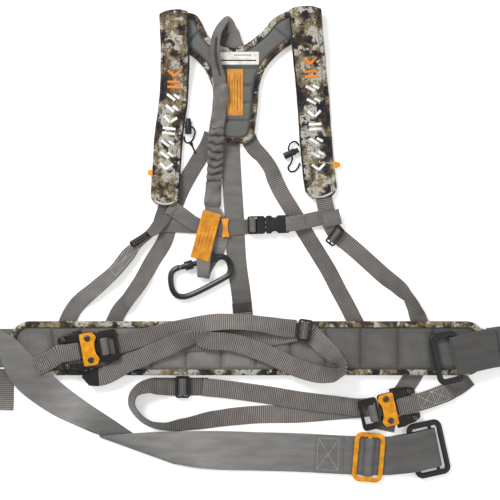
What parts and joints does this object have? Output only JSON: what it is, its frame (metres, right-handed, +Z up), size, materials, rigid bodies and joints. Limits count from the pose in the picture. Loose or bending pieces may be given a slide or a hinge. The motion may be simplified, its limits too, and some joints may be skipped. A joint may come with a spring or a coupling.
{
  "type": "safety harness vest",
  "caption": "Harness vest laid flat: padded yoke, shoulder pads and waist belt joined by webbing, with quick-connect leg loops, chest buckle, tether and carabiner.",
  "frame": {"origin": "middle of the waist belt's outer webbing, on the surface that the vest lies on", "axes": "+X along the belt to the right as seen from above, +Y from the belt to the shoulders, +Z up from the surface"},
  "size_m": [0.7728, 0.6634, 0.0368],
  "materials": {
    "camo": null,
    "lining": "grey air mesh, matte",
    "webbing": "ribbed grey polyester webbing",
    "wide_webbing": "herringbone grey polyester webbing, slight sheen",
    "tag_cloth": "orange woven label",
    "black_plastic": "moulded black acetal",
    "orange_plastic": "moulded orange acetal",
    "orange_metal": "orange anodised or coated plate",
    "black_metal": "black coated steel and alloy, semi-gloss",
    "elastic_cord": "braided black elastic cord"
  },
  "bodies": {
    "root": {"back_pad": "camo", "back_lining": "lining", "back_binding": "camo", "shoulder_pad_left": "camo", "shoulder_pad_right": "camo", "belt_pad": "camo", "belt_lining": "lining", "belt_binding": "camo", "belt_webbing": "wide_webbing", "back_strap": "webbing", "cross_strap_left": "webbing", "cross_strap_right": "webbing", "side_strap_left": "webbing", "side_strap_right": "webbing", "chest_strap_left": "webbing", "chest_anchor_left": "webbing", "chest_strap_right": "webbing", "tether": "webbing", "tether_loop": "webbing", "tether_cover": "webbing", "tether_tag": "tag_cloth", "size_label": "tag_cloth", "leg_strap_left": "webbing", "leg_strap_left_top": "webbing", "leg_strap_right": "webbing", "leg_strap_right_top": "webbing", "leg_riser_right": "webbing", "leg_tab_left": "webbing", "leg_tab_right": "webbing", "waist_strap": "wide_webbing", "ring_webbing": "wide_webbing", "chest_buckle_female": "black_plastic", "cord_lock_left": "black_plastic", "cord_lock_right": "black_plastic", "elastic_cord_left": "elastic_cord", "elastic_cord_right": "elastic_cord", "buckle_left_base": "black_metal", "buckle_left_cover": "orange_metal", "buckle_right_base": "black_metal", "buckle_right_cover": "orange_metal"},
    "carabiner": {"carabiner_body": "black_metal"},
    "gate": {"carabiner_gate": "black_metal"},
    "sleeve": {"carabiner_sleeve": "black_metal"},
    "chest_male": {"chest_buckle_male": "black_plastic"},
    "keeper": {"chest_keeper": "orange_plastic"},
    "tri_glide_left": {"tri_glide_left": "black_plastic"},
    "tri_glide_right": {"tri_glide_right": "black_plastic"},
    "leg_slider_left": {"leg_slider_left": "black_plastic"},
    "leg_slider_right": {"leg_slider_right": "black_plastic"},
    "waist_adjuster": {"waist_adjuster": "orange_metal"},
    "end_frame": {"waist_end_frame": "black_metal"},
    "belt_ring": {"belt_ring": "black_metal"},
    "cord_button_left": {"cord_button_left": "black_plastic"},
    "cord_button_right": {"cord_button_right": "black_plastic"},
    "buckle_left_male": {"buckle_left_male": "black_metal"},
    "buckle_left_lever_upper": {"buckle_left_lever_upper": "black_metal"},
    "buckle_left_lever_lower": {"buckle_left_lever_lower": "black_metal"},
    "buckle_right_male": {"buckle_right_male": "black_metal"},
    "buckle_right_lever_upper": {"buckle_right_lever_upper": "black_metal"},
    "buckle_right_lever_lower": {"buckle_right_lever_lower": "black_metal"}
  },
  "joints": [
    {"name": "carabiner_swing", "type": "hinge", "parent": "root", "child": "carabiner", "pos_m": [-0.0445, 0.1209, 0.007], "axis": [0, 0, 1], "range_deg": [-14, 0]},
    {"name": "carabiner_gate_swing", "type": "hinge", "parent": "carabiner", "child": "gate", "pos_m": [-0.0308, 0.1246, 0.007], "axis": [0, 0, 1], "range_deg": [0, 17], "stiffness_Nm_per_rad": 0.1},
    {"name": "carabiner_sleeve_slide", "type": "slide", "parent": "gate", "child": "sleeve", "axis": [-0.965, -0.2622, 0], "range_m": [0, 0.009]},
    {"name": "chest_buckle_release", "type": "slide", "parent": "root", "child": "chest_male", "axis": [-0.9994, -0.0349, 0], "range_m": [0, 0.024]},
    {"name": "chest_keeper_slide", "type": "slide", "parent": "root", "child": "keeper", "axis": [0.9994, 0.0349, 0], "range_m": [-0.004, 0.0012]},
    {"name": "tri_glide_left_slide", "type": "slide", "parent": "root", "child": "tri_glide_left", "axis": [-0.7683, -0.6401, 0], "range_m": [-0.006, 0.008]},
    {"name": "tri_glide_right_slide", "type": "slide", "parent": "root", "child": "tri_glide_right", "axis": [0.8028, -0.5962, 0], "range_m": [-0.003, 0.012]},
    {"name": "leg_slider_left_slide", "type": "slide", "parent": "root", "child": "leg_slider_left", "axis": [-0.9903, 0.1392, 0], "range_m": [-0.004, 0.012]},
    {"name": "leg_slider_right_slide", "type": "slide", "parent": "root", "child": "leg_slider_right", "axis": [1, 0, 0], "range_m": [-0.006, 0.024]},
    {"name": "waist_adjuster_slide", "type": "slide", "parent": "root", "child": "waist_adjuster", "axis": [-0.9962, 0.0872, 0], "range_m": [-0.004, 0.025]},
    {"name": "waist_end_frame_tilt", "type": "hinge", "parent": "root", "child": "end_frame", "pos_m": [0.27902, -0.13873, 0.00515], "axis": [-0.2164, 0.9763, 0], "range_deg": [0, 6]},
    {"name": "belt_ring_swing", "type": "hinge", "parent": "root", "child": "belt_ring", "pos_m": [0.31143, -0.00864, 0.0203], "axis": [-0.2164, 0.9763, 0], "range_deg": [0, 100]},
    {"name": "buckle_left_release", "type": "slide", "parent": "root", "child": "buckle_left_male", "axis": [0.9848, 0.1736, 0], "range_m": [0, 0.024]},
    {"name": "buckle_left_upper_press", "type": "hinge", "parent": "root", "child": "buckle_left_lever_upper", "pos_m": [-0.2358, 0.01298, 0.0206], "axis": [0, 0, -1], "range_deg": [0, 6], "stiffness_Nm_per_rad": 0.15},
    {"name": "buckle_left_lower_press", "type": "hinge", "parent": "root", "child": "buckle_left_lever_lower", "pos_m": [-0.2292, -0.02444, 0.0206], "axis": [0, 0, 1], "range_deg": [0, 6], "stiffness_Nm_per_rad": 0.15},
    {"name": "buckle_right_release", "type": "slide", "parent": "root", "child": "buckle_right_male", "axis": [-0.9744, -0.225, 0], "range_m": [0, 0.024]},
    {"name": "buckle_right_upper_press", "type": "hinge", "parent": "root", "child": "buckle_right_lever_upper", "pos_m": [0.25143, -0.09609, 0.0104], "axis": [0, 0, -1], "range_deg": [0, 6], "stiffness_Nm_per_rad": 0.15},
    {"name": "buckle_right_lower_press", "type": "hinge", "parent": "root", "child": "buckle_right_lever_lower", "pos_m": [0.24288, -0.05906, 0.0104], "axis": [0, 0, 1], "range_deg": [0, 6], "stiffness_Nm_per_rad": 0.15},
    {"name": "cord_button_left_press", "type": "slide", "parent": "root", "child": "cord_button_left", "axis": [0, -1, 0], "range_m": [0, 0.003], "stiffness_N_per_m": 200},
    {"name": "cord_button_right_press", "type": "slide", "parent": "root", "child": "cord_button_right", "axis": [-0.9063, -0.4226, 0], "range_m": [0, 0.003], "stiffness_N_per_m": 200}
  ]
}
